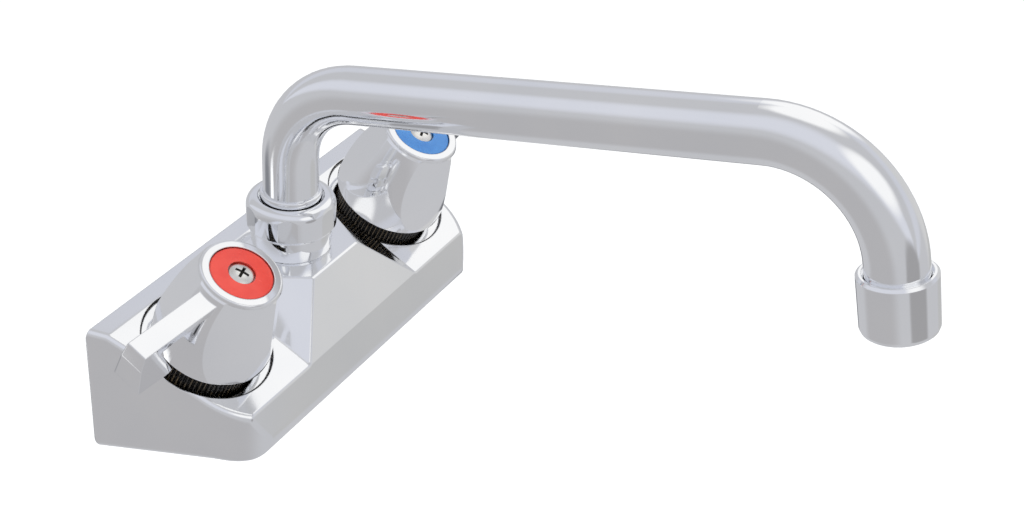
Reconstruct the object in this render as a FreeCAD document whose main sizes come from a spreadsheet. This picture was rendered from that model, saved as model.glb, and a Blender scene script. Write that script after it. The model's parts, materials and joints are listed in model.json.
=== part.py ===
import FreeCAD, Part
import math
import os

import Sketcher

# Commercial wall faucet with two quarter-turn lever valves and a swinging tube spout.
# Millimetres. X runs along the wall (hot side at -X), the wall is the plane Y = 0, the faucet
# stands out towards -Y and +Z is up. The origin lies on the wall, midway between the two inlets.

SIZES = {
    # cast body
    "inlet_half": 50.8,        # half of the 4 in inlet spacing
    "body_half_long": 76.2,
    "body_top": 27.3,
    "body_low": -18.6,
    "strip_deep": 6.4,         # level strip along the wall
    "slope_angle": 24.1,       # slope of the valve facets, and lean of the valve axes
    "facet_deep": 50.4,        # wall to the front edge of the facets
    "front_angle": 31.9,       # lean of the ridge's front from upright
    "band_angle": 21.0,        # lean of the front band below it
    "under_angle": 10.8,       # rise of the underside towards the front
    "end_angle": 9.6,          # draft of the end faces
    "nose_radius": 5.8,
    "corner_radius": 22.0,     # plan corners at the front
    "ridge_top": 26.0,         # level top of the centre ridge
    "ridge_top_half": 12.5,
    "ridge_foot_half": 31.4,
    "edge_radius": 1.6,
    "end_radius": 2.6,         # top and side edges of the ends
    "under_radius": 6.0,       # lower edges of the ends
    # valve seats
    "valve_deep": 25.9,        # wall to the point where a valve axis meets its facet
    "pocket_radius": 20.6,     # shallow round seat under each handle
    "pocket_deep": 1.3,
    "pocket_lip": 0.6,         # depth at which the seat starts to flare
    "pocket_mouth": 21.1,      # radius of the flare at the facet
    "rib_radius": 16.2,        # dark collar round the cartridge
    "rib_inner": 12.2,
    "rib_over": 0.8,           # how far the collar rises into the skirt
    "thread_radius": 10.5,
    "barrel_radius": 9.0,
    "thread_deep": 10.5,
    "seat_deep": 19.0,
    "port_radius": 4.5,
    # inlets: female half inch pipe thread in the back
    "inlet_radius": 10.45,
    "inlet_deep": 8.0,
    # waterways and hollows inside the casting
    "passage_radius": 4.0,
    "passage_low": 1.0,        # how far the inlet passages lie under the inlet's axis
    "cross_deep": 21.4,        # the way from valve to valve, from the wall
    "cross_level": 8.0,
    "chamber_radius": 6.0,
    "chamber_level": 2.0,
    "swivel_bore": 9.0,
    "swivel_bore_deep": 12.0,
    # spout
    "spout_deep": 21.9,        # wall to the swivel axis
    "tube_radius": 9.0,
    "tube_bore": 7.8,
    "tube_start": 28.4,
    "run_start": 82.6,         # height where the riser and run centrelines meet
    "run_long": 192.6,
    "run_angle": 12.7,
    "first_bend": 30.0,
    "end_bend": 35.0,
    "outlet_drop": 37.5,
    # swivel
    "base_radius": 12.8,
    "base_wide": 13.3,
    "base_tall": 8.2,
    "base_thread": 12.3,
    "base_thread_tall": 6.0,
    "nut_radius": 14.5,
    "nut_tall": 10.8,
    "nut_hole": 10.55,
    "nut_lip": 2.4,
    "collar_radius": 10.0,
    "collar_flange": 11.7,
    "swivel_gap": 0.06,
    # handles, measured along the valve axis from the facet
    "skirt_level": 3.3,
    "skirt_radius": 19.1,
    "skirt_inner": 17.3,
    "hub_top": 32.9,
    "hub_top_radius": 13.5,
    "hub_curve": 66.0,
    "rim_radius": 12.8,
    "rim_top": 34.0,
    "rim_round": 0.8,
    "flat_reach": 19.6,        # axis to the foot of the flats opposite the lever
    "flat_near_reach": 18.4,   # the same beside the lever
    "flat_tilt": 14.5,         # lean of the flats towards the axis
    "flat_turn": 57.0,         # direction of a near flat from the lever's
    "lever_reach": 42.7,
    "lever_turn": 4.0,
    "disc_radius": 9.9,
    "screw_head": 4.05,
    "stem_radius": 4.0,
    # aerator
    "aerator_radius": 11.3,
    "aerator_tall": 17.9,
}

doc = FreeCAD.newDocument("wall_faucet")
sheet = doc.addObject("Spreadsheet::Sheet", "sizes")
for row, (alias, number) in enumerate(SIZES.items(), start=1):
    sheet.set(f"A{row}", alias)
    sheet.set(f"B{row}", str(number))
    sheet.setAlias(f"B{row}", alias)
doc.recompute()


class Size:
    """A number together with the sheet expression that gives it."""

    def __init__(self, value, text):
        self.value = float(value)
        self.text = text

    def join(self, other, sign, result):
        other = as_size(other)
        return Size(result(self.value, other.value), f"({self.text} {sign} {other.text})")

    def __add__(self, other):
        return self.join(other, "+", lambda a, b: a + b)

    def __sub__(self, other):
        return self.join(other, "-", lambda a, b: a - b)

    def __mul__(self, other):
        return self.join(other, "*", lambda a, b: a * b)

    def __truediv__(self, other):
        return self.join(other, "/", lambda a, b: a / b)

    def __neg__(self):
        return Size(-self.value, f"(0 - {self.text})")


def as_size(number):
    """A plain number is allowed wherever a Size is."""
    if isinstance(number, Size):
        return number
    return Size(number, f"{float(number):.6f}")


def size(alias):
    """The sheet's value under this alias."""
    return Size(getattr(sheet, alias), f"sizes.{alias}")


def tan_of(alias):
    """Tangent of an angle that the sheet holds in degrees."""
    return Size(math.tan(math.radians(getattr(sheet, alias))), f"tan(sizes.{alias} * 1deg)")


def cos_of(alias):
    """Cosine of an angle that the sheet holds in degrees."""
    return Size(math.cos(math.radians(getattr(sheet, alias))), f"cos(sizes.{alias} * 1deg)")


def sin_of(alias):
    """Sine of an angle that the sheet holds in degrees."""
    return Size(math.sin(math.radians(getattr(sheet, alias))), f"sin(sizes.{alias} * 1deg)")


AXIS_X = FreeCAD.Vector(1, 0, 0)
AXIS_Y = FreeCAD.Vector(0, 1, 0)
AXIS_Z = FreeCAD.Vector(0, 0, 1)
ZERO = as_size(0)

pieces = []      # the finished sub-parts, one file each


def finish(piece, label):
    """Name a finished sub-part and put it on the list of pieces."""
    piece.Label = label
    pieces.append(piece)
    return piece


# ---------------------------------------------------------------- sketches and simple solids

def plane_of(body, role):
    """One of the origin planes of a body, by its role."""
    return next(item for item in body.Origin.OriginFeatures if item.Role == role)


def arc_through(start, end, radius):
    """Arc between two corners; a positive radius bulges to the right of the way from start to end."""
    chord = end - start
    half = chord.Length / 2
    side = FreeCAD.Vector(chord.y, -chord.x, 0).normalize() * math.copysign(1, radius)
    rise = abs(radius) - math.sqrt(radius * radius - half * half)
    crown = (start + end) / 2 + side * rise
    return Part.Arc(start, crown, end)


def draw(sketch, corners):
    """Closed outline. A corner is (x, y) or (x, y, radius of the arc that leaves it)."""
    spots = [FreeCAD.Vector(as_size(c[0]).value, as_size(c[1]).value, 0) for c in corners]
    count = len(corners)
    for index, corner in enumerate(corners):
        start = spots[index]
        end = spots[(index + 1) % count]
        if len(corner) == 3:
            sketch.addGeometry(arc_through(start, end, as_size(corner[2]).value), False)
        else:
            sketch.addGeometry(Part.LineSegment(start, end), False)
    # which end of each edge is its start: an arc may run the other way round
    first = []
    for index in range(count):
        edge = sketch.Geometry[index]
        first.append(1 if edge.StartPoint.isEqual(spots[index], 1e-6) else 2)
    for index in range(count):
        after = (index + 1) % count
        sketch.addConstraint(Sketcher.Constraint("Coincident", index, 3 - first[index], after, first[after]))
    for index, corner in enumerate(corners):
        for kind, value in zip(("DistanceX", "DistanceY"), corner[:2]):
            value = as_size(value)
            fixed = Sketcher.Constraint(kind, -1, 1, index, first[index], value.value)
            number = sketch.addConstraint(fixed)
            sketch.setExpression(f"Constraints[{number}]", value.text)
        if len(corner) == 3:
            radius = as_size(corner[2])
            number = sketch.addConstraint(Sketcher.Constraint("Radius", index, abs(radius.value)))
            sketch.setExpression(f"Constraints[{number}]", f"abs({radius.text})")


def body_sketch(body, role, name):
    """A new sketch on one of the body's origin planes."""
    sketch = body.newObject("Sketcher::SketchObject", name)
    sketch.AttachmentSupport = [(plane_of(body, role), "")]
    sketch.MapMode = "FlatFace"
    return sketch


def turned(name, corners, place=None):
    """A solid of revolution about its own Z axis; corners are (radius, level)."""
    body = doc.addObject("PartDesign::Body", name)
    sketch = body_sketch(body, "XZ_Plane", f"{name}_profile")
    draw(sketch, corners)
    spin = body.newObject("PartDesign::Revolution", f"{name}_turn")
    spin.Profile = sketch
    spin.ReferenceAxis = (sketch, ["V_Axis"])
    spin.Angle = 360
    if place:
        body.Placement = place
    return body


def prism(name, role, corners, length, place=None):
    """An outline on an origin plane, padded evenly to both sides of it."""
    body = doc.addObject("PartDesign::Body", name)
    sketch = body_sketch(body, role, f"{name}_outline")
    draw(sketch, corners)
    pad = body.newObject("PartDesign::Pad", f"{name}_pad")
    pad.Profile = sketch
    pad.setExpression("Length", as_size(length).text)
    pad.Midplane = True
    if place:
        body.Placement = place
    return body


def cylinder(name, radius, length, place):
    """A plain round rod that starts at the placement and runs along its Z."""
    rod = doc.addObject("Part::Cylinder", name)
    rod.setExpression("Radius", as_size(radius).text)
    rod.setExpression("Height", as_size(length).text)
    rod.Placement = place
    return rod


def block(name, sides, place):
    """A box with its corner at the placement."""
    box = doc.addObject("Part::Box", name)
    for side, value in zip(("Length", "Width", "Height"), sides):
        box.setExpression(side, as_size(value).text)
    box.Placement = place
    return box


def joined(name, parts):
    fuse = doc.addObject("Part::MultiFuse", name)
    fuse.Shapes = parts
    return fuse


def cut(name, base, tools):
    """Base with all the tools taken out of it."""
    result = doc.addObject("Part::Cut", name)
    result.Base = base
    result.Tool = joined(f"{name}_tools", tools) if len(tools) > 1 else tools[0]
    return result


def common(name, parts):
    result = doc.addObject("Part::MultiCommon", name)
    result.Shapes = parts
    return result


def at(x, y, z, rotation=None):
    """A placement from three numbers or sizes."""
    spot = FreeCAD.Vector(as_size(x).value, as_size(y).value, as_size(z).value)
    return FreeCAD.Placement(spot, rotation or FreeCAD.Rotation())


# ---------------------------------------------------------------- frames of the valves and swivel

LEAN = sheet.slope_angle
FACET_LEVEL = size("body_top") - (size("valve_deep") - size("strip_deep")) * tan_of("slope_angle")
SIDES = {"hot": -1, "cold": 1}


def valve_frame(side, turn=0.0, level=0.0):
    """Frame of a valve: Z up its leaning axis from the facet, X away from the spout.

    The turn is in degrees, from straight outwards towards the wall.
    """
    lean = FreeCAD.Rotation(AXIS_X, LEAN)
    outward = FreeCAD.Rotation(AXIS_Z, 180 - turn if side < 0 else turn)
    foot = at(size("inlet_half") * side, -size("valve_deep"), FACET_LEVEL)
    return FreeCAD.Placement(foot.Base, lean.multiply(outward)) * at(0, 0, level)


def swivel_frame(level=0.0):
    """Frame of the spout's upright swivel axis."""
    return at(0, -size("spout_deep"), level)


# ---------------------------------------------------------------- cast body

def is_sharp(shape, edge):
    """True where two faces meet at more than about ten degrees."""
    faces = shape.ancestorsOfType(edge, Part.Face)
    middle = edge.valueAt((edge.FirstParameter + edge.LastParameter) / 2)
    normals = []
    for face in faces:
        u, v = face.Surface.parameter(middle)
        normals.append(face.normalAt(u, v))
    return len(normals) == 2 and abs(normals[0].dot(normals[1])) < math.cos(math.radians(10))


def make_body():
    top = size("body_top")
    low = size("body_low")
    strip = size("strip_deep")
    facet = size("facet_deep")
    facet_low = top - (facet - strip) * tan_of("slope_angle")
    # the front band meets the underside at the sharp nose line
    nose_deep = facet + (facet_low - low) * tan_of("band_angle")
    nose_deep = nose_deep / (as_size(1) + tan_of("under_angle") * tan_of("band_angle"))
    nose_low = low + nose_deep * tan_of("under_angle")

    # trims that round the nose: where an arc of the nose radius touches the two faces
    turn = math.radians(90 - sheet.band_angle + sheet.under_angle)
    trim = size("nose_radius") * (1 / math.tan(turn / 2))
    face_touch = (-(nose_deep - trim * sin_of("band_angle")), nose_low + trim * cos_of("band_angle"))
    under_touch = (-(nose_deep - trim * cos_of("under_angle")), nose_low - trim * sin_of("under_angle"))

    wedge_side = prism("wedge_side", "YZ_Plane", [
        (ZERO, low),
        (ZERO, top),
        (-strip, top),
        (-facet, facet_low),
        (face_touch[0], face_touch[1], size("nose_radius")),
        under_touch,
    ], size("body_half_long") * 2)

    ridge_top = size("ridge_top")
    ridge_front = facet + (facet_low - ridge_top) * tan_of("front_angle")
    ridge_side = prism("ridge_side", "YZ_Plane", [
        (ZERO, ZERO),
        (ZERO, ridge_top),
        (-ridge_front, ridge_top),
        (-facet, facet_low),
        (-facet, ZERO),
    ], size("body_half_long") * 2)

    # the ridge walls run down the slope: one outline, padded along it
    rise = (ridge_top - facet_low) * cos_of("slope_angle") - (facet - ridge_front) * sin_of("slope_angle")
    lean = FreeCAD.Rotation(AXIS_X, LEAN)
    slope = FreeCAD.Placement(at(0, -facet, facet_low).Base, lean)
    spread = (size("ridge_foot_half") - size("ridge_top_half")) / rise
    tall = as_size(25)
    deep = as_size(30)
    ridge_walls = prism("ridge_walls", "XZ_Plane", [
        (-(size("ridge_foot_half") + spread * deep), -deep),
        (size("ridge_foot_half") + spread * deep, -deep),
        (size("ridge_foot_half") - spread * tall * 0.6, tall * 0.6),
        (-(size("ridge_foot_half") - spread * tall * 0.6), tall * 0.6),
    ], as_size(160), slope)
    ridge = common("ridge", [ridge_side, ridge_walls])

    # seen from above the ends draw in towards the front, with rounded corners
    half = size("body_half_long")
    front_half = half - nose_deep * tan_of("end_angle")
    bend = math.radians(90 + sheet.end_angle)
    corner = size("corner_radius") * (1 / math.tan(bend / 2))
    side_x = front_half + corner * sin_of("end_angle")
    side_y = -(nose_deep - corner * cos_of("end_angle"))
    plan = prism("body_plan", "XY_Plane", [
        (-half, ZERO),
        (-side_x, side_y, size("corner_radius")),
        (-(front_half - corner), -nose_deep),
        (front_half - corner, -nose_deep, size("corner_radius")),
        (side_x, side_y),
        (half, ZERO),
    ], as_size(140))
    wedge = common("wedge", [wedge_side, plan])
    casting = joined("casting", [wedge, ridge])
    doc.recompute()

    # soften every outer edge but those that lie on the wall
    soft = doc.addObject("Part::Fillet", "soft_casting")
    soft.Base = casting
    chosen = []
    for number, edge in enumerate(casting.Shape.Edges, start=1):
        on_wall = edge.BoundBox.YMin > -0.01
        if not on_wall and is_sharp(casting.Shape, edge):
            radius = softening(edge)
            chosen.append((number, radius, radius))
    soft.Edges = chosen
    return cut("body", soft, body_hollows())


def softening(edge):
    """Fillet radius of an outer edge: large under the ends, small in the middle."""
    middle = edge.valueAt((edge.FirstParameter + edge.LastParameter) / 2)
    if abs(middle.x) < 60:
        return sheet.edge_radius
    if middle.z < -4:
        return sheet.under_radius
    return sheet.end_radius


def body_hollows():
    """Pockets, bores and waterways of the casting; tools that open outwards are longer than needed."""
    tools = []
    past = 20
    into_wall = FreeCAD.Rotation(AXIS_X, 90)        # local Z towards -Y
    across = FreeCAD.Rotation(AXIS_Y, 90)           # local Z towards +X
    passage = size("passage_radius")
    for side_name, side in SIDES.items():
        frame = valve_frame(side)
        bores = (
            ("pocket", "pocket_radius", -size("pocket_deep")),
            ("thread", "thread_radius", -size("thread_deep")),
            ("barrel", "barrel_radius", -size("seat_deep")),
            ("port", "port_radius", -size("seat_deep") - 5),
        )
        for bore, radius, level in bores:
            tools.append(cylinder(f"{side_name}_{bore}", size(radius), past, frame * at(0, 0, level)))
        tools.append(flare(f"{side_name}_flare", frame))
        x = size("inlet_half") * side
        inlet = size("inlet_radius")
        tools.append(cylinder(f"{side_name}_inlet", inlet, size("inlet_deep") + 1, at(x, 1, 0, into_wall)))
        entry = at(x, 1, -size("passage_low"), into_wall)
        tools.append(cylinder(f"{side_name}_passage", passage, 18, entry))
    # swivel base thread, mixing chamber and the cross way between the valves
    bore_low = size("ridge_top") - size("swivel_bore_deep")
    tools.append(cylinder("swivel_thread", size("swivel_bore"), past, swivel_frame(bore_low)))
    tools.append(cylinder("chamber", size("chamber_radius"), past, swivel_frame(size("chamber_level"))))
    reach = size("inlet_half") - 5
    cross_way = at(-reach, -size("cross_deep"), size("cross_level"), across)
    tools.append(cylinder("cross_way", passage, reach * 2, cross_way))
    # the casting is hollow underneath, between the waterways
    tools.append(block("under_hollow", (66, 39, 30), at(-33, -44, -31)))
    tools.append(block("front_hollow", (56, 12, 9), at(-28, -42, -2)))
    return tools


def flare(name, frame):
    """Cone that opens the mouth of a valve pocket, a little past the facet."""
    lip = size("pocket_lip")
    widening = (size("pocket_mouth") - size("pocket_radius")) / lip
    past = as_size(1)
    cone = doc.addObject("Part::Cone", name)
    cone.setExpression("Radius1", size("pocket_radius").text)
    cone.setExpression("Radius2", (size("pocket_mouth") + widening * past).text)
    cone.setExpression("Height", (lip + past).text)
    cone.Placement = frame * at(0, 0, -lip)
    return cone


def hexagon(name, flats, thick, place):
    """Six-sided blank with its corners turned off on both faces."""
    flats = as_size(flats)
    thick = as_size(thick)
    bar = doc.addObject("Part::Prism", f"{name}_bar")
    bar.Polygon = 6
    bar.setExpression("Circumradius", (flats / math.sqrt(3)).text)
    bar.setExpression("Height", thick.text)
    bar.Placement = place
    corner = flats / math.sqrt(3)
    turn = turned(f"{name}_chamfers", [
        (ZERO, ZERO),
        (corner - 1.4, ZERO),
        (corner + 0.01, 0.8),
        (corner + 0.01, thick - 0.8),
        (corner - 1.4, thick),
        (ZERO, thick),
    ], place)
    return common(name, [bar, turn])


# ---------------------------------------------------------------- valves, inside the body

def make_valve(name, side):
    """Quarter-turn cartridge: levels are along the valve axis, from the facet."""
    frame = valve_frame(side)
    seat = -size("seat_deep")
    pocket = -size("pocket_deep")
    thread = -size("thread_deep")
    stem = size("stem_radius")
    barrel = size("barrel_radius") - 0.1
    seal_top = seat + 1.5
    fixed_top = seal_top + 2.5
    moving_top = fixed_top + 2.5
    drive_top = moving_top + 2.2
    neck_top = as_size(10)

    seal = turned(f"{name}_seal_body", [
        (size("port_radius"), seat),
        (8.0, seat),
        (8.0, seal_top),
        (size("port_radius"), seal_top),
    ], frame)
    finish(seal, f"{name}_seat_seal")

    fixed = turned(f"{name}_fixed_blank", [
        (ZERO, seal_top),
        (7.5, seal_top),
        (7.5, fixed_top),
        (ZERO, fixed_top),
    ], frame)
    openings = windows(f"{name}_fixed", frame, seal_top, 4.0, 0)
    finish(cut(f"{name}_fixed_cut", fixed, openings), f"{name}_fixed_disc")

    moving_low = fixed_top + 0.02
    moving = turned(f"{name}_moving_blank", [
        (ZERO, moving_low),
        (7.3, moving_low),
        (7.3, moving_top),
        (ZERO, moving_top),
    ], frame)
    openings = windows(f"{name}_moving", frame, moving_low, 4.0, 90)
    finish(cut(f"{name}_moving_cut", moving, openings), f"{name}_moving_disc")

    stem_body = turned(f"{name}_stem_body", [
        (ZERO, moving_top),
        (6.6, moving_top),
        (6.6, drive_top),
        (stem, drive_top),
        (stem, 1.2),
        (stem - 0.9, 1.2),
        (stem - 0.9, 2.8),
        (stem, 2.8),
        (stem, 28.0),
        (stem - 0.6, 28.6),
        (1.6, 28.6),
        (1.6, 16.0),
        (ZERO, 16.0),
    ], frame)
    finish(stem_body, f"{name}_stem")

    cavity = as_size(7.6)
    bore = stem + size("swivel_gap")
    shell = turned(f"{name}_cartridge_body", [
        (cavity, seal_top),
        (barrel, seal_top),
        (barrel, thread),
        (size("thread_radius") - 0.05, thread),
        (size("thread_radius") - 0.05, pocket - 2.0),
        (9.1, pocket - 2.0),
        (9.1, pocket),
        (11.6, pocket),
        (11.6, pocket + 4.4),
        (7.2, pocket + 4.4),
        (7.2, neck_top),
        (bore, neck_top),
        (bore, drive_top + 0.1),
        (cavity, drive_top + 0.1),
    ], frame)
    # two side windows let the water out of the disc chamber
    window_low = fixed_top + 0.5
    ways = block(f"{name}_side_windows", (24, 6, 4), frame * at(-12, -3, window_low))
    finish(cut(f"{name}_cartridge_cut", shell, [ways]), f"{name}_cartridge")

    finish(ring(f"{name}_bonnet_ring", 9.8, 0.68, frame * at(0, 0, pocket - 1.0)), f"{name}_bonnet_o_ring")
    finish(ring(f"{name}_stem_ring", stem - 0.42, 0.44, frame * at(0, 0, 2.0)), f"{name}_stem_o_ring")
    finish(ribbed_collar(f"{name}_collar", frame, pocket), f"{name}_ribbed_collar")


def windows(name, frame, level, tall, turn):
    """Two wedge-shaped waterways through a ceramic disc, opposite each other."""
    tools = []
    spread = 76                   # degrees
    off_centre = 0.9              # leaves a solid web in the middle
    for number, aim in enumerate((turn, turn + 180)):
        wedge = doc.addObject("Part::Cylinder", f"{name}_window_{number}")
        wedge.Radius = 5.0
        wedge.Height = as_size(tall).value
        wedge.Angle = spread
        outward = at(0, 0, level - 0.5, FreeCAD.Rotation(AXIS_Z, aim)) * at(off_centre, 0, 0)
        wedge.Placement = frame * outward * at(0, 0, 0, FreeCAD.Rotation(AXIS_Z, -spread / 2))
        tools.append(wedge)
    return tools


def ring(name, middle, thick, place):
    """An O-ring: middle radius and section radius."""
    torus = doc.addObject("Part::Torus", name)
    torus.setExpression("Radius1", as_size(middle).text)
    torus.setExpression("Radius2", as_size(thick).text)
    torus.Placement = place
    return torus


def ribbed_collar(name, frame, floor):
    """Dark collar round the cartridge: fine ribs all round, up into the handle's skirt."""
    outer = sheet.rib_radius
    root = outer - 0.5
    ribs = 72
    floor = as_size(floor).value
    top = sheet.skirt_level + sheet.rib_over
    step = 2 * math.pi / ribs
    corners = []
    for rib in range(ribs):
        for part, radius in ((0.0, root), (0.3, outer), (0.6, outer), (0.9, root)):
            angle = (rib + part) * step
            corners.append(FreeCAD.Vector(radius * math.cos(angle), radius * math.sin(angle), floor))
    corners.append(corners[0])
    ribbed = Part.Face(Part.makePolygon(corners)).extrude(AXIS_Z * (top - floor))
    hole = Part.makeCylinder(sheet.rib_inner, 40, FreeCAD.Vector(0, 0, floor - 5))
    collar = doc.addObject("Part::Feature", name)
    collar.Shape = ribbed.cut(hole)
    collar.Placement = frame
    return collar


# ---------------------------------------------------------------- handles

def make_handle(name, side):
    """Barrel hub with four flats, a level lever pointing outwards, index disc and screw."""
    frame = valve_frame(side, sheet.lever_turn)
    skirt = size("skirt_level")
    barrel = turned(f"{name}_hub", [
        (size("stem_radius") + 0.05, 12.0),
        (7.4, 12.0),
        (7.4, 26.5),
        (9.4, 26.5),
        (size("skirt_inner"), skirt),
        (size("skirt_radius") - 0.6, skirt),
        (size("skirt_radius"), skirt + 0.6, size("hub_curve")),
        (size("hub_top_radius"), size("hub_top") - 0.6),
        (size("rim_radius"), size("hub_top")),
        (size("rim_radius"), size("rim_top") - size("rim_round"), size("rim_round")),
        (size("rim_radius") - size("rim_round"), size("rim_top")),
        (size("disc_radius") + 0.15, size("rim_top")),
        (size("disc_radius") + 0.15, size("rim_top") - 1.5),
        (2.3, size("rim_top") - 1.5),
        (2.3, 29.0),
        (size("stem_radius") + 0.05, 29.0),
    ], frame)

    # flats lean in towards the top and stop under the rim
    level = size("hub_top") - 0.2
    cutters = []
    for number, (azimuth, reach) in enumerate(flat_places()):
        aim = FreeCAD.Rotation(AXIS_Z, azimuth)
        lean = FreeCAD.Rotation(AXIS_Y, -sheet.flat_tilt)
        deep_at_top = size(reach) - (level - skirt) * tan_of("flat_tilt")
        spot = frame * at(0, 0, 0, aim) * at(deep_at_top, 0, level, lean)
        cutters.append(block(f"{name}_flat_{number}", (12, 60, 45), spot * at(0, -30, -45)))
    clear = cylinder(f"{name}_below_rim", 60, 60, frame * at(0, 0, level - 60))
    flats = common(f"{name}_flat_cuts", [joined(f"{name}_flat_blocks", cutters), clear])
    hub = cut(f"{name}_hub_cut", barrel, [flats])

    lever = make_lever(name, frame)
    finish(joined(f"{name}_handle_body", [hub, lever]), f"{name}_handle")

    recess = size("rim_top") - 1.5
    disc = turned(f"{name}_disc_body", [
        (size("screw_head") + 0.25, recess),
        (size("disc_radius"), recess),
        (size("disc_radius"), recess + 0.9),
        (size("disc_radius") - 0.3, recess + 1.2, 60.0),
        (size("screw_head") + 0.25, recess + 1.5),
    ], frame)
    finish(disc, f"{name}_index_disc")
    finish(make_screw(name, frame, recess), f"{name}_handle_screw")


def flat_places():
    """Direction of each flat from the lever's, and the size that says how far out its foot is."""
    turn = sheet.flat_turn
    return (
        (turn, "flat_near_reach"),
        (180 - turn, "flat_reach"),
        (180 + turn, "flat_reach"),
        (-turn, "flat_near_reach"),
    )


def make_lever(name, frame):
    """Lever with a dropped tip: its side view, narrowed by a tapered end view."""
    reach = size("lever_reach")
    side_view = prism(f"{name}_lever_side", "XZ_Plane", [
        (5.0, 31.0),
        (13.0, 31.0),
        (reach - 0.3, 27.4),
        (reach, 26.9),
        (reach - 0.2, 21.5),
        (reach - 2.3, 10.8),
        (reach - 3.1, 10.1),
        (27.3, 10.6),
        (26.3, 11.6),
        (35.0, 24.5),
        (34.3, 25.2),
        (13.0, 28.0),
        (5.0, 28.4),
    ], 12, frame)
    end_view = prism(f"{name}_lever_end", "YZ_Plane", [
        (-5.0, 9.0),
        (5.0, 9.0),
        (3.5, 27.0),
        (3.5, 32.0),
        (-3.5, 32.0),
        (-3.5, 27.0),
    ], 120, frame)
    blade = common(f"{name}_lever_blade", [side_view, end_view])
    socket = cylinder(f"{name}_lever_clear", size("stem_radius") + 0.05, 40, frame * at(0, 0, 0))
    return cut(f"{name}_lever", blade, [socket])


def make_screw(name, frame, seat):
    """Machine screw with a low domed head and a cross recess."""
    head = size("screw_head")
    blank = turned(f"{name}_screw_blank", [
        (ZERO, 17.0),
        (1.15, 17.0),
        (1.55, 17.4),
        (1.55, seat),
        (head, seat),
        (head, seat + 0.9, 7.0),
        (ZERO, seat + 1.9),
    ], frame)
    slots = []
    for number, turn in enumerate((20, 110)):
        aim = FreeCAD.Rotation(AXIS_Z, turn)
        spot = frame * at(0, 0, seat + 0.6, aim) * at(-2.2, -0.45, 0)
        slots.append(block(f"{name}_slot_{number}", (4.4, 0.9, 3), spot))
    return cut(f"{name}_screw_cut", blank, slots)


# ---------------------------------------------------------------- swivel and spout

def make_swivel():
    """Base, seals, collar and nut that hold the spout and let it turn."""
    frame = swivel_frame(size("ridge_top"))
    tall = size("base_tall")
    tube = size("tube_radius")
    bore = tube + size("swivel_gap")
    thread = size("base_thread")
    top = tall + size("base_thread_tall")
    groove = 1.35
    start = size("tube_start") - size("ridge_top")
    base = turned("swivel_base_body", [
        (6.0, -11.0),
        (8.95, -11.0),
        (8.95, ZERO),
        (size("base_radius") - 0.5, ZERO),
        (size("base_radius"), 0.6, 30.0),
        (size("base_wide"), tall - 0.5),
        (size("base_wide") - 0.5, tall),
        (thread, tall),
        (thread, top),
        (bore, top),
        (bore, top - 1.6),
        (bore + groove, top - 1.6),
        (bore + groove, top - 3.2),
        (bore, top - 3.2),
        (bore, top - 5.6),
        (bore + groove, top - 5.6),
        (bore + groove, top - 7.2),
        (bore, top - 7.2),
        (bore, start - 0.3),
        (6.0, start - 0.3),
    ], frame)
    finish(base, "swivel_base")
    for name, level in (("upper", top - 2.4), ("lower", top - 6.4)):
        seal = ring(f"{name}_ring", tube + 0.72, 0.65, frame * at(0, 0, level))
        finish(seal, f"{name}_spout_o_ring")

    nut_top = tall + size("nut_tall")
    radius = size("nut_radius")
    hole = size("nut_hole")
    nut = turned("spout_nut_blank", [
        (thread + 0.05, tall),
        (radius - 0.9, tall),
        (radius, tall + 0.9),
        (radius, nut_top - 3.4, 3.4),
        (radius - 3.4 + 0.25, nut_top),
        (hole + 0.3, nut_top),
        (hole, nut_top - 0.3),
        (hole, nut_top - size("nut_lip")),
        (thread + 0.05, nut_top - size("nut_lip")),
    ], frame)
    # six wrench flats, shallow, just below the rounded shoulder
    grip = hexagon("spout_nut_flats", (radius - 0.35) * 2, nut_top, frame)
    finish(common("spout_nut_grip", [nut, grip]), "spout_nut")

    flange_low = top + 0.1
    flange_top = nut_top - size("nut_lip") - 0.1
    collar_top = nut_top + 2.0
    collar = turned("collar_body", [
        (tube, flange_low),
        (size("collar_flange"), flange_low),
        (size("collar_flange"), flange_top),
        (size("collar_radius"), flange_top),
        (size("collar_radius"), collar_top - 0.7, 0.7),
        (size("collar_radius") - 0.7, collar_top),
        (tube, collar_top),
    ], frame)
    finish(collar, "spout_collar")


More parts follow.
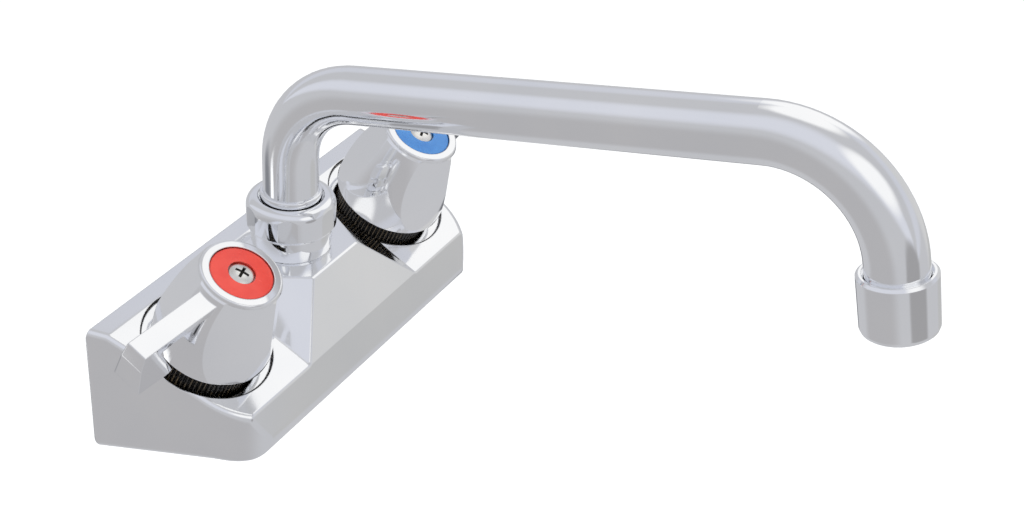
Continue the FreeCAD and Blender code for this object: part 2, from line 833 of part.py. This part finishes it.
def make_spout():
    """Tube: upright riser, rising run, large end bend; the centreline is lines and arcs."""
    rise = math.radians(sheet.run_angle)
    start = sheet.tube_start
    corner = FreeCAD.Vector(0, sheet.run_start - start, 0)
    along = FreeCAD.Vector(-math.cos(rise), math.sin(rise), 0)
    down = FreeCAD.Vector(-math.sin(rise), -math.cos(rise), 0)
    turn = corner + along * sheet.run_long
    end = turn + down * (sheet.outlet_drop + 6.0)

    def fillet(point, before, after, radius):
        angle = before.getAngle(after)
        trim = radius * math.tan(angle / 2)
        first = point - before * trim
        last = point + after * trim
        inward = (after - before).normalize()
        crown = point + inward * (radius / math.cos(angle / 2) - radius)
        return first, crown, last

    up = FreeCAD.Vector(0, 1, 0)
    bend_a = fillet(corner, up, along, sheet.first_bend)
    bend_b = fillet(turn, along, down, sheet.end_bend)

    body = doc.addObject("PartDesign::Body", "spout_tube_body")
    path = body_sketch(body, "YZ_Plane", "spout_path")
    path.addGeometry(Part.LineSegment(FreeCAD.Vector(), bend_a[0]), False)
    path.addGeometry(Part.Arc(*bend_a), False)
    path.addGeometry(Part.LineSegment(bend_a[2], bend_b[0]), False)
    path.addGeometry(Part.Arc(*bend_b), False)
    path.addGeometry(Part.LineSegment(bend_b[2], end), False)
    section = body_sketch(body, "XY_Plane", "spout_section")
    for alias in ("tube_radius", "tube_bore"):
        circle = Part.Circle(FreeCAD.Vector(), AXIS_Z, getattr(sheet, alias))
        number = section.addGeometry(circle, False)
        section.addConstraint(Sketcher.Constraint("Coincident", number, 3, -1, 1))
        radius = section.addConstraint(Sketcher.Constraint("Radius", number, getattr(sheet, alias)))
        section.setExpression(f"Constraints[{radius}]", f"sizes.{alias}")
    sweep = body.newObject("PartDesign::AdditivePipe", "spout_sweep")
    sweep.Profile = section
    sweep.Spine = (path, [])
    body.Placement = swivel_frame(start)
    finish(body, "spout_tube")

    # frame of the outlet: Z points up the tube from the end of the run's corner
    outlet_corner = body.Placement.multVec(FreeCAD.Vector(0, turn.x, turn.y))
    tilt = FreeCAD.Rotation(AXIS_X, -sheet.run_angle)
    return FreeCAD.Placement(outlet_corner, tilt)


def make_outlet(frame):
    """Aerator on the end of the tube: shell, washer, flow insert and screen."""
    top = -size("outlet_drop")
    low = top - size("aerator_tall")
    outer = size("aerator_radius")
    tube = size("tube_radius")
    tube_end = top - 6.0
    shell = turned("aerator_shell", [
        (tube + 0.05, tube_end - 0.05),
        (tube + 0.05, top - 0.9),
        (tube + 0.75, top),
        (outer - 0.8, top),
        (outer, top - 0.8),
        (outer - 0.2, low + 1.6),
        (outer - 0.6, low + 0.6),
        (outer - 1.2, low + 0.1),
        (outer - 1.8, low),
        (outer - 2.6, low),
        (outer - 2.6, low + 1.2),
        (outer - 3.2, low + 1.2),
        (outer - 3.2, low + 2.6),
        (outer - 1.6, low + 2.6),
        (outer - 1.6, tube_end - 0.05),
    ], frame)
    finish(shell, "aerator_housing")
    washer = turned("aerator_washer_body", [
        (tube - 2.6, tube_end - 0.05),
        (tube + 0.6, tube_end - 0.05),
        (tube + 0.6, tube_end - 1.7),
        (tube - 2.6, tube_end - 1.7),
    ], frame)
    finish(washer, "aerator_washer")
    insert_top = tube_end - 1.75
    insert_low = low + 2.65
    insert = turned("aerator_insert_body", [
        (ZERO, insert_top),
        (tube + 0.55, insert_top),
        (tube + 0.55, insert_low + 1.0),
        (tube + 0.55, insert_low),
        (7.4, insert_low),
        (7.4, insert_top - 1.5),
        (ZERO, insert_top - 1.5),
    ], frame)
    jets = []
    for number in range(12):
        aim = FreeCAD.Rotation(AXIS_Z, number * 30)
        spot = frame * at(0, 0, insert_top - 3, aim) * at(5.2, 0, 0)
        jets.append(cylinder(f"jet_{number}", 0.7, 5, spot))
    finish(cut("aerator_insert_cut", insert, jets), "aerator_insert")
    finish(make_screen(frame * at(0, 0, insert_low + 0.6)), "aerator_screen")


def make_screen(frame):
    """Square mesh held inside the insert."""
    radius = 7.3
    pitch = 1.9
    bar = 0.7
    thick = 0.8
    rim = Part.makeCylinder(radius, thick).cut(Part.makeCylinder(radius - 0.9, thick))
    web = rim
    for step in range(-3, 4):
        for swap in (False, True):
            middle = step * pitch
            long_side = 2 * radius
            corner = FreeCAD.Vector(-radius, middle - bar / 2, 0)
            strip = Part.makeBox(long_side, bar, thick, corner)
            if swap:
                strip.rotate(FreeCAD.Vector(), AXIS_Z, 90)
            web = web.fuse(strip)
    mesh = doc.addObject("Part::Feature", "aerator_mesh")
    mesh.Shape = web.common(Part.makeCylinder(radius, thick)).removeSplitter()
    mesh.Placement = frame
    return mesh


# ---------------------------------------------------------------- assembly and export

finish(make_body(), "faucet_body")
for side_name, side_sign in SIDES.items():
    make_valve(side_name, side_sign)
    make_handle(side_name, side_sign)
make_swivel()
make_outlet(make_spout())
doc.recompute()

for item in doc.Objects:
    if "Invalid" in item.State or "Error" in item.State:
        raise RuntimeError(f"{item.Label} did not compute: {item.State}")
os.makedirs("parts", exist_ok=True)
for piece in pieces:
    shape = piece.Shape
    if shape.isNull() or not shape.isValid() or not shape.Solids:
        raise RuntimeError(f"{piece.Label} has no valid solid")
    shape.exportStep(f"parts/{piece.Label}.step")
    box = shape.BoundBox
    print(f"{piece.Label:24s} solids {len(shape.Solids)} volume {shape.Volume:9.0f}",
          f"x {box.XMin:.1f}..{box.XMax:.1f} y {box.YMin:.1f}..{box.YMax:.1f}",
          f"z {box.ZMin:.1f}..{box.ZMax:.1f}")
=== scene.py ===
"""Looks, studio and camera for the commercial wall faucet.

Lengths are in metres, in the frame of the CAD: X runs along the wall with the hot side at -X,
the wall is the plane Y = 0, the faucet stands out towards -Y, and Z is up.
"""

import json
import math

import bpy
from mathutils import Matrix, Vector

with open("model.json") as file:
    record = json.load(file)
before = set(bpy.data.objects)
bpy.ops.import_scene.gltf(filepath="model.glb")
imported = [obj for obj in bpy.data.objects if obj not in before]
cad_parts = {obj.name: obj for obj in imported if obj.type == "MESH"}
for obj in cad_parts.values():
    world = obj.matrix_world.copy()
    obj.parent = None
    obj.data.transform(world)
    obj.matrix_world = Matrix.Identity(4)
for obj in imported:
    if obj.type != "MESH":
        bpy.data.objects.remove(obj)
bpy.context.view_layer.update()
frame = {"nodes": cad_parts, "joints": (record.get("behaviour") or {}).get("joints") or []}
NODES = frame["nodes"]
JOINTS = {joint["name"]: joint for joint in frame["joints"]}

MM = 0.001
SIDES = ("hot", "cold")

# valve parts, to match their solids
RIB_COUNT = 72
DISC_RIM = (9.3 * MM, 9.95 * MM)          # radii between which the index disc darkens
SCREW_RECESS = (33.2 * MM, 33.6 * MM)     # heights on the axis: painted shade below, pale above

# the photograph's camera, fitted to the object
CAMERA_AZIMUTH = -63.02        # degrees, 0 looks along +Y
CAMERA_HEIGHT = 33.47          # degrees above the horizon
CAMERA_ROLL = 3.755            # degrees
CAMERA_DISTANCE = 0.5850
CAMERA_TARGET = Vector((0.0229, -0.0911, 0.0314))
CAMERA_LENS = 64.38            # millimetres
CAMERA_SENSOR = 36.0           # millimetres
CAMERA_CLIP = 0.02

WHITE = (1.0, 1.0, 1.0, 1.0)
STUDIO_CENTRE = Vector((0.0, -0.08, 0.05))

# floor: it glows more with distance, where less light falls on it, to meet the white world
FLOOR_SIZE = 8.0
FLOOR_PLACE = (0, -0.1, -0.42)
FLOOR_TONES = ((0.86, 0.86, 0.86), (0.88, 0.88, 0.88))
FLOOR_GLOW = (0.42, 0.64)      # near and far
FLOOR_FADE = (0.8, 2.6)        # distances of near and far

WORLD_LIGHT = (0.95, 0.97, 1.0)
WORLD_LEVEL = 0.55

# lamps: name, azimuth and height in degrees, distance, side, watts
LAMPS = (
    ("key", -20, 62, 1.5, 1.1, 14.0),
    ("fill", -110, 35, 1.6, 1.2, 6.0),
)

# light tent: a sphere of cloth with lighter and darker panels, and openings to the white world.
# A panel or opening is full within its first angle and gone beyond its second, in degrees.
# A band takes its direction round the Y axis, a patch takes it in space.
TENT_RADIUS = 0.40
TENT_RINGS = 24
TENT_SPOKES = 48
TENT_GREY = (0.556, 0.560, 0.582)
LILAC = (0.985, 0.975, 1.0)
BLUISH = (0.90, 0.92, 1.0)
NEUTRAL = (1.0, 1.0, 1.0)
# kind, direction, two angles, level, tint
TENT_PANELS = (
    ("band", (-0.50, 0, 0.86), 5, 30, 0.78, BLUISH),
    ("band", (0.80, 0, 0.60), 4, 24, 0.70, BLUISH),
    ("patch", (-0.82, 0.19, -0.54), 34, 60, 0.475, LILAC),
    ("patch", (0.79, -0.60, 0.12), 12, 26, 0.65, NEUTRAL),
    ("patch", (0.76, -0.59, -0.42), 13, 21, 0.52, NEUTRAL),
    ("patch", (-0.17, 0.82, -0.54), 6, 18, 0.26, BLUISH),
    ("patch", (0.83, 0.12, -0.54), 5, 14, 0.18, BLUISH),
    ("patch", (-0.17, -0.98, -0.10), 12, 18, 0.37, LILAC),
)
# direction, two angles
TENT_OPENINGS = (
    ((0.80, -0.10, 0.62), 14, 24),
    ((0.42, -0.12, 0.90), 14, 24),
    ((-0.20, -0.75, 0.62), 10, 22),
    ((-0.52, 0.69, -0.50), 3, 8),
)


# ---------------------------------------------------------------- shader helper

EDGE_SAMPLES = 6


class Paint:
    """A material under construction: a Principled surface and the nodes that feed it."""

    def __init__(self, name):
        self.material = bpy.data.materials.new(name)
        self.material.use_nodes = True
        self.tree = self.material.node_tree
        self.surface = self.tree.nodes["Principled BSDF"]
        self.place = self.add("ShaderNodeTexCoord").outputs["Object"]

    def add(self, kind, **settings):
        node = self.tree.nodes.new(kind)
        for key, value in settings.items():
            setattr(node, key, value)
        return node

    def feed(self, target, source):
        """Link a socket, or set it where the source is a plain value."""
        if isinstance(source, bpy.types.NodeSocket):
            self.tree.links.new(source, target)
        else:
            target.default_value = source

    def set(self, **inputs):
        """Set or link inputs of the surface, named with underscores for spaces."""
        for key, value in inputs.items():
            self.feed(self.surface.inputs[key.replace("_", " ")], value)

    def mapped(self, scale, place=None):
        """Object coordinates, or those at place, stretched."""
        node = self.add("ShaderNodeMapping")
        self.feed(node.inputs["Vector"], place or self.place)
        node.inputs["Scale"].default_value = scale
        return node.outputs["Vector"]

    def local(self, foot, rotation):
        """Object coordinates as seen from a frame that stands at foot."""
        node = self.add("ShaderNodeMapping", vector_type="TEXTURE")
        self.feed(node.inputs["Vector"], self.place)
        node.inputs["Location"].default_value = foot
        node.inputs["Rotation"].default_value = rotation
        return node.outputs["Vector"]

    def noise(self, scale, detail=2.0, rough=0.5, place=None):
        node = self.add("ShaderNodeTexNoise")
        self.feed(node.inputs["Vector"], place or self.place)
        node.inputs["Scale"].default_value = scale
        node.inputs["Detail"].default_value = detail
        node.inputs["Roughness"].default_value = rough
        return node.outputs["Fac"]

    def maths(self, operation, first, second=0.0):
        node = self.add("ShaderNodeMath", operation=operation)
        self.feed(node.inputs[0], first)
        self.feed(node.inputs[1], second)
        return node.outputs["Value"]

    def spread(self, value, low, high, start=0.3, end=0.7):
        """Map a value between start and end to the range from low to high."""
        node = self.add("ShaderNodeMapRange")
        self.feed(node.inputs["Value"], value)
        node.inputs["From Min"].default_value = start
        node.inputs["From Max"].default_value = end
        node.inputs["To Min"].default_value = low
        node.inputs["To Max"].default_value = high
        return node.outputs["Result"]

    def blend(self, amount, first, second):
        """Mix two colours."""
        node = self.add("ShaderNodeMix", data_type="RGBA")
        self.feed(node.inputs["Factor"], amount)
        for name, colour in (("A", first), ("B", second)):
            socket = [s for s in node.inputs if s.name == name and s.type == "RGBA"][0]
            self.feed(socket, colour)
        return [s for s in node.outputs if s.type == "RGBA"][0]

    def bump(self, height, distance, strength, below=None):
        node = self.add("ShaderNodeBump")
        self.feed(node.inputs["Height"], height)
        node.inputs["Distance"].default_value = distance
        node.inputs["Strength"].default_value = strength
        if below is not None:
            self.feed(node.inputs["Normal"], below)
        return node.outputs["Normal"]

    def length(self, vector):
        node = self.add("ShaderNodeVectorMath", operation="LENGTH")
        self.feed(node.inputs[0], vector)
        return node.outputs["Value"]

    def soft_edges(self, radius):
        """Normals that round the edges a little."""
        node = self.add("ShaderNodeBevel", samples=EDGE_SAMPLES)
        node.inputs["Radius"].default_value = radius
        return node.outputs["Normal"]


def rgb(red, green, blue):
    return (red, green, blue, 1.0)


def wear(*nodes, material):
    """Give these CAD nodes the material."""
    for name in nodes:
        slots = NODES[name].data.materials
        if not slots:
            slots.append(material)
        for index in range(len(slots)):
            slots[index] = material


# ---------------------------------------------------------------- frames

def valve_axis(side):
    """Foot and rotation of a valve's frame: Z up its leaning axis."""
    joint = JOINTS[f"{side}_turn"]
    axis = Vector(joint["axis"])
    if axis.z < 0:
        axis = -axis
    lean = math.atan2(-axis.y, axis.z)
    return Vector(joint["pos_m"]), (lean, 0.0, 0.0)


# ---------------------------------------------------------------- materials

CHROME_COOL = rgb(0.90, 0.91, 0.93)
CHROME_WARM = rgb(0.95, 0.952, 0.958)
COLLAR_BLACK = rgb(0.010, 0.009, 0.008)
# painted glint: brassy colour for the collar's rib tips
COLLAR_GLINT_BRASS = rgb(0.16, 0.115, 0.06)
SCREW_DULL = rgb(0.84, 0.82, 0.78)
SCREW_PALE = rgb(0.93, 0.92, 0.89)
# painted shade for the screw's recess
SCREW_PAINTED_SHADE = rgb(0.03, 0.028, 0.025)
BRASS_DEEP = rgb(0.55, 0.38, 0.13)
BRASS_PALE = rgb(0.72, 0.54, 0.24)
DISC_RING_PITCH = 0.35 * MM
SCREW_RING_PITCH = 0.22 * MM


def chrome(name, edge, ripple, rough, grain=None):
    """Bright plating: faint ripple of the polished metal under it, and soft edges.

    A grain gives the scale of fine tool lines along each axis.
    """
    paint = Paint(name)
    cloud = paint.spread(paint.noise(28.0, 3.0), 0.0, 1.0)
    paint.set(Metallic=1.0)
    paint.set(Base_Color=paint.blend(cloud, CHROME_COOL, CHROME_WARM))
    smear = paint.noise(65.0, 4.0, 0.6)
    paint.set(Roughness=paint.spread(smear, *rough))
    normal = paint.soft_edges(edge)
    normal = paint.bump(paint.noise(140.0, 1.5), 0.02 * MM, ripple, normal)
    if grain:
        lines = paint.noise(1.0, 2.0, 0.6, paint.mapped(grain))
        normal = paint.bump(lines, 0.002 * MM, 0.5, normal)
    paint.set(Normal=normal)
    return paint.material


def ribbed(name, side):
    """Dark collar: glossy black valleys, with painted brassy glints on the rib tips."""
    paint = Paint(name)
    angle = paint.add("ShaderNodeTexGradient", gradient_type="RADIAL")
    paint.feed(angle.inputs["Vector"], paint.local(*valve_axis(side)))
    turns = paint.maths("MULTIPLY", angle.outputs["Fac"], float(RIB_COUNT))
    phase = paint.maths("FRACT", turns)
    crest = paint.maths("PINGPONG", paint.maths("ADD", phase, 0.05), 0.5)
    tip = paint.spread(crest, 0.0, 1.0, 0.28, 0.46)
    patch = paint.spread(paint.noise(260.0, 3.0), 0.0, 1.0, 0.42, 0.62)
    # painted glint: brassy colour on the rib crests, in noisy patches
    painted_glint = paint.maths("MULTIPLY", tip, patch)
    paint.set(Base_Color=paint.blend(painted_glint, COLLAR_BLACK, COLLAR_GLINT_BRASS))
    paint.set(Roughness=paint.spread(paint.noise(400.0), 0.22, 0.42))
    paint.set(Metallic=0.35)
    paint.set(Normal=paint.bump(paint.noise(900.0, 3.0), 0.02 * MM, 0.4))
    return paint.material


def enamel(name, deep, light, side):
    """Coloured index disc: glossy plastic with faint turned rings and a darker rim."""
    paint = Paint(name)
    place = paint.local(*valve_axis(side))
    radius = paint.length(paint.mapped((1.0, 1.0, 0.0), place))
    mottle = paint.spread(paint.noise(180.0, 3.0), 0.0, 0.6)
    colour = paint.blend(mottle, deep, light)
    rim = paint.spread(radius, 0.0, 0.55, *DISC_RIM)
    shade = rgb(*[channel * 0.45 for channel in deep[:3]])
    paint.set(Base_Color=paint.blend(rim, colour, shade))
    paint.set(Roughness=paint.spread(paint.noise(240.0, 3.0), 0.16, 0.28))
    paint.surface.inputs["Coat Weight"].default_value = 0.35
    paint.surface.inputs["Coat Roughness"].default_value = 0.08
    turns = paint.maths("MULTIPLY", radius, 2 * math.pi / DISC_RING_PITCH)
    normal = paint.bump(paint.maths("SINE", turns), 0.003 * MM, 0.25)
    paint.set(Normal=paint.bump(paint.noise(700.0, 2.0), 0.01 * MM, 0.3, normal))
    return paint.material


def turned_steel(name, side):
    """Screw head: pale nickel with fine lathe rings and painted shade in the recess."""
    paint = Paint(name)
    place = paint.local(*valve_axis(side))
    radius = paint.length(paint.mapped((1.0, 1.0, 0.0), place))
    height = paint.add("ShaderNodeSeparateXYZ")
    paint.feed(height.inputs["Vector"], place)
    # painted shade: near black below the recess heights, pale metal above
    recess = paint.spread(height.outputs["Z"], 1.0, 0.0, *SCREW_RECESS)
    tone = paint.spread(paint.noise(300.0, 3.0), 0.0, 1.0)
    pale = paint.blend(tone, SCREW_DULL, SCREW_PALE)
    paint.set(Base_Color=paint.blend(recess, pale, SCREW_PAINTED_SHADE), Metallic=1.0)
    paint.set(Roughness=paint.spread(paint.noise(350.0), 0.22, 0.36))
    turns = paint.maths("MULTIPLY", radius, 2 * math.pi / SCREW_RING_PITCH)
    edges = paint.soft_edges(0.12 * MM)
    paint.set(Normal=paint.bump(paint.maths("SINE", turns), 0.004 * MM, 0.4, edges))
    return paint.material


def machined_brass(name):
    """Bare brass with fine rings round the valve's axis."""
    paint = Paint(name)
    tone = paint.spread(paint.noise(90.0, 3.0), 0.0, 1.0)
    paint.set(Base_Color=paint.blend(tone, BRASS_DEEP, BRASS_PALE))
    paint.set(Metallic=1.0, Roughness=paint.spread(paint.noise(220.0), 0.22, 0.38))
    lines = paint.noise(1.0, 2.0, 0.6, paint.mapped((200.0, 200.0, 5200.0)))
    paint.set(Normal=paint.bump(lines, 0.01 * MM, 0.4))
    return paint.material


def plain(name, dark, pale, rough, fine, metal=0.0):
    """Rubber, ceramic, moulded plastic or mesh: two near tones and a fine grain."""
    paint = Paint(name)
    tone = paint.spread(paint.noise(120.0, 3.0), 0.0, 1.0)
    paint.set(Base_Color=paint.blend(tone, dark, pale))
    paint.set(Metallic=metal)
    paint.set(Roughness=paint.spread(paint.noise(300.0, 3.0), *rough))
    paint.set(Normal=paint.bump(paint.noise(fine, 3.0), 0.02 * MM, 0.4))
    return paint.material


def dress():
    """Materials for every CAD node."""
    body = chrome("chrome_cast", 0.5 * MM, 0.10, rough=(0.06, 0.12))
    handle = chrome("chrome_handle", 0.45 * MM, 0.07, rough=(0.04, 0.09))
    tube = chrome("chrome_tube", 0.2 * MM, 0.05,
                  rough=(0.06, 0.11), grain=(2600.0, 90.0, 2600.0))
    turned = chrome("chrome_turned", 0.35 * MM, 0.04,
                    rough=(0.04, 0.08), grain=(150.0, 150.0, 3200.0))
    brass = machined_brass("brass_machined")
    rubber = plain("rubber_black", rgb(0.012, 0.012, 0.012), rgb(0.03, 0.03, 0.03),
                   rough=(0.45, 0.65), fine=900.0)
    ceramic = plain("ceramic_white", rgb(0.80, 0.79, 0.75), rgb(0.88, 0.87, 0.84),
                    rough=(0.10, 0.2), fine=1500.0)
    insert = plain("plastic_pale", rgb(0.62, 0.63, 0.64), rgb(0.72, 0.73, 0.74),
                   rough=(0.35, 0.5), fine=800.0)
    mesh = plain("steel_mesh", rgb(0.42, 0.42, 0.43), rgb(0.60, 0.60, 0.61),
                 rough=(0.25, 0.4), fine=2500.0, metal=1.0)

    wear("faucet_body", material=body)
    wear("swivel_base", "spout_nut", "spout_collar", "aerator_housing", material=turned)
    wear("spout_tube", material=tube)
    wear("upper_spout_o_ring", "lower_spout_o_ring", "aerator_washer", material=rubber)
    wear("aerator_insert", material=insert)
    wear("aerator_screen", material=mesh)
    red = enamel("index_red", rgb(0.72, 0.045, 0.030), rgb(0.84, 0.085, 0.055), "hot")
    blue = enamel("index_blue", rgb(0.035, 0.20, 0.56), rgb(0.08, 0.30, 0.68), "cold")
    wear("hot_index_disc", material=red)
    wear("cold_index_disc", material=blue)
    for side in SIDES:
        wear(f"{side}_handle", material=handle)
        wear(f"{side}_ribbed_collar", material=ribbed(f"collar_{side}", side))
        wear(f"{side}_handle_screw", material=turned_steel(f"screw_{side}", side))
        wear(f"{side}_stem", f"{side}_cartridge", material=brass)
        wear(f"{side}_fixed_disc", f"{side}_moving_disc", material=ceramic)
        for ring in ("seat_seal", "bonnet_o_ring", "stem_o_ring"):
            wear(f"{side}_{ring}", material=rubber)


# ---------------------------------------------------------------- studio

def add_object(name, data):
    thing = bpy.data.objects.new(name, data)
    bpy.context.scene.collection.objects.link(thing)
    return thing


def outwards(azimuth, height):
    """Unit vector from the object at these angles in degrees, 0 being straight to the front."""
    azimuth = math.radians(azimuth)
    height = math.radians(height)
    return Vector((math.sin(azimuth) * math.cos(height),
                   -math.cos(azimuth) * math.cos(height),
                   math.sin(height)))


def make_floor():
    """Pale floor, white to the camera and in reflections, that keeps the object's shadow."""
    half = FLOOR_SIZE / 2
    corners = [(-half, -half, 0), (half, -half, 0), (half, half, 0), (-half, half, 0)]
    mesh = bpy.data.meshes.new("floor")
    mesh.from_pydata(corners, [], [(0, 1, 2, 3)])
    floor = add_object("floor", mesh)
    floor.location = FLOOR_PLACE
    paint = Paint("floor_pale")
    speck = paint.spread(paint.noise(30.0, 3.0), 0.0, 1.0)
    paint.set(Base_Color=paint.blend(speck, rgb(*FLOOR_TONES[0]), rgb(*FLOOR_TONES[1])))
    paint.set(Roughness=0.9, Specular_IOR_Level=0.0, Emission_Color=WHITE)
    seen = paint.add("ShaderNodeLightPath")
    shown = paint.maths("MAXIMUM", seen.outputs["Is Camera Ray"], seen.outputs["Is Glossy Ray"])
    shown = paint.maths("MAXIMUM", shown, seen.outputs["Is Transmission Ray"])
    level = paint.spread(paint.length(paint.place), *FLOOR_GLOW, *FLOOR_FADE)
    paint.set(Emission_Strength=paint.maths("MULTIPLY", shown, level))
    mesh.materials.append(paint.material)


class Tent(Paint):
    """Cloth that glows in panels by direction from the tent's centre, with soft edges."""

    def __init__(self, name):
        super().__init__(name)
        self.tree.nodes.remove(self.surface)
        heading = self.add("ShaderNodeVectorMath", operation="NORMALIZE")
        self.feed(heading.inputs[0], self.place)
        self.heading = heading.outputs["Vector"]
        flat = self.add("ShaderNodeVectorMath", operation="NORMALIZE")
        self.feed(flat.inputs[0], self.mapped((1, 0, 1)))
        self.around = flat.outputs["Vector"]

    def patch(self, towards, inner, outer, source):
        """1 within the inner angle of a direction, falling to 0 at the outer angle."""
        dot = self.add("ShaderNodeVectorMath", operation="DOT_PRODUCT")
        self.feed(dot.inputs[0], source)
        dot.inputs[1].default_value = Vector(towards).normalized()
        ramp = self.add("ShaderNodeMapRange", interpolation_type="SMOOTHSTEP")
        self.feed(ramp.inputs["Value"], dot.outputs["Value"])
        ramp.inputs["From Min"].default_value = math.cos(math.radians(outer))
        ramp.inputs["From Max"].default_value = math.cos(math.radians(inner))
        return ramp.outputs["Result"]


def tent_mesh():
    """Sphere of quads with a flat cap at each pole."""
    spots = []
    for ring in range(1, TENT_RINGS):
        polar = math.pi * ring / TENT_RINGS
        for spoke in range(TENT_SPOKES):
            turn = 2 * math.pi * spoke / TENT_SPOKES
            spots.append(TENT_RADIUS * Vector((math.sin(polar) * math.cos(turn),
                                               math.sin(polar) * math.sin(turn),
                                               math.cos(polar))))
    faces = []
    for ring in range(TENT_RINGS - 2):
        for spoke in range(TENT_SPOKES):
            here = ring * TENT_SPOKES + spoke
            along = ring * TENT_SPOKES + (spoke + 1) % TENT_SPOKES
            faces.append((here, here + TENT_SPOKES, along + TENT_SPOKES, along))
    faces.append(tuple(range(TENT_SPOKES)))
    faces.append(tuple(reversed(range(len(spots) - TENT_SPOKES, len(spots)))))
    mesh = bpy.data.meshes.new("tent")
    mesh.from_pydata(spots, [], faces)
    return mesh


def tent_cloth():
    """The cloth's panels as an emission, with its openings cut out."""
    paint = Tent("tent_cloth")
    colour = rgb(*TENT_GREY)
    for kind, towards, inner, outer, level, tint in TENT_PANELS:
        source = paint.around if kind == "band" else paint.heading
        amount = paint.patch(towards, inner, outer, source)
        colour = paint.blend(amount, colour, rgb(*[level * channel for channel in tint]))
    glow = paint.add("ShaderNodeEmission")
    paint.feed(glow.inputs["Color"], colour)
    clear = paint.add("ShaderNodeBsdfTransparent")
    opening = None
    for towards, inner, outer in TENT_OPENINGS:
        amount = paint.patch(towards, inner, outer, paint.heading)
        opening = amount if opening is None else paint.maths("MAXIMUM", opening, amount)
    mix = paint.add("ShaderNodeMixShader")
    paint.feed(mix.inputs["Fac"], opening)
    paint.feed(mix.inputs[1], glow.outputs[0])
    paint.feed(mix.inputs[2], clear.outputs[0])
    paint.feed(paint.tree.nodes["Material Output"].inputs["Surface"], mix.outputs[0])
    return paint.material


def make_tent():
    """Light tent round the object, seen only in reflections, as the plating shows it."""
    tent = add_object("tent", tent_mesh())
    tent.location = STUDIO_CENTRE
    tent.visible_camera = False
    tent.visible_diffuse = False
    tent.visible_shadow = False
    tent.visible_transmission = False
    tent.data.materials.append(tent_cloth())


def make_lamp(name, azimuth, height, distance, side, power):
    """Square area lamp that faces the studio's centre and leaves no highlight."""
    lamp = bpy.data.lights.new(name, "AREA")
    lamp.shape = "SQUARE"
    lamp.size = side
    lamp.energy = power
    holder = add_object(name, lamp)
    out = outwards(azimuth, height)
    turn = out.to_track_quat("Z", "Y").to_matrix().to_4x4()
    holder.matrix_world = Matrix.Translation(STUDIO_CENTRE + out * distance) @ turn
    holder.visible_glossy = False


def make_world():
    """White to the camera and in reflections; a plain soft light on everything."""
    world = bpy.data.worlds.new("studio")
    bpy.context.scene.world = world
    world.use_nodes = True
    tree = world.node_tree
    tree.nodes.clear()
    output = tree.nodes.new("ShaderNodeOutputWorld")
    backgrounds = []
    for colour, strength in ((rgb(*WORLD_LIGHT), WORLD_LEVEL), (WHITE, 1.0)):
        background = tree.nodes.new("ShaderNodeBackground")
        background.inputs["Color"].default_value = colour
        background.inputs["Strength"].default_value = strength
        backgrounds.append(background)
    path = tree.nodes.new("ShaderNodeLightPath")
    seen = path.outputs["Is Camera Ray"]
    for name in ("Is Glossy Ray", "Is Transmission Ray"):
        either = tree.nodes.new("ShaderNodeMath")
        either.operation = "MAXIMUM"
        tree.links.new(seen, either.inputs[0])
        tree.links.new(path.outputs[name], either.inputs[1])
        seen = either.outputs[0]
    mix = tree.nodes.new("ShaderNodeMixShader")
    tree.links.new(seen, mix.inputs["Fac"])
    for number, background in enumerate(backgrounds, 1):
        tree.links.new(background.outputs[0], mix.inputs[number])
    tree.links.new(mix.outputs[0], output.inputs["Surface"])


def make_studio():
    make_floor()
    make_world()
    for lamp in LAMPS:
        make_lamp(*lamp)
    make_tent()


def make_camera():
    """The photograph's camera, with its small roll."""
    data = bpy.data.cameras.new("photo_camera")
    data.lens = CAMERA_LENS
    data.sensor_width = CAMERA_SENSOR
    data.clip_start = CAMERA_CLIP
    camera = add_object("photo_camera", data)
    back = outwards(CAMERA_AZIMUTH, CAMERA_HEIGHT)
    level = (-back).cross(Vector((0, 0, 1))).normalized()
    upward = level.cross(-back)
    roll = math.radians(CAMERA_ROLL)
    right = level * math.cos(roll) + upward * math.sin(roll)
    upward = upward * math.cos(roll) - level * math.sin(roll)
    turn = Matrix((right, upward, back)).transposed().to_4x4()
    camera.matrix_world = Matrix.Translation(CAMERA_TARGET + back * CAMERA_DISTANCE) @ turn
    bpy.context.scene.camera = camera


dress()
make_studio()
make_camera()
bpy.context.scene.view_settings.view_transform = "Standard"
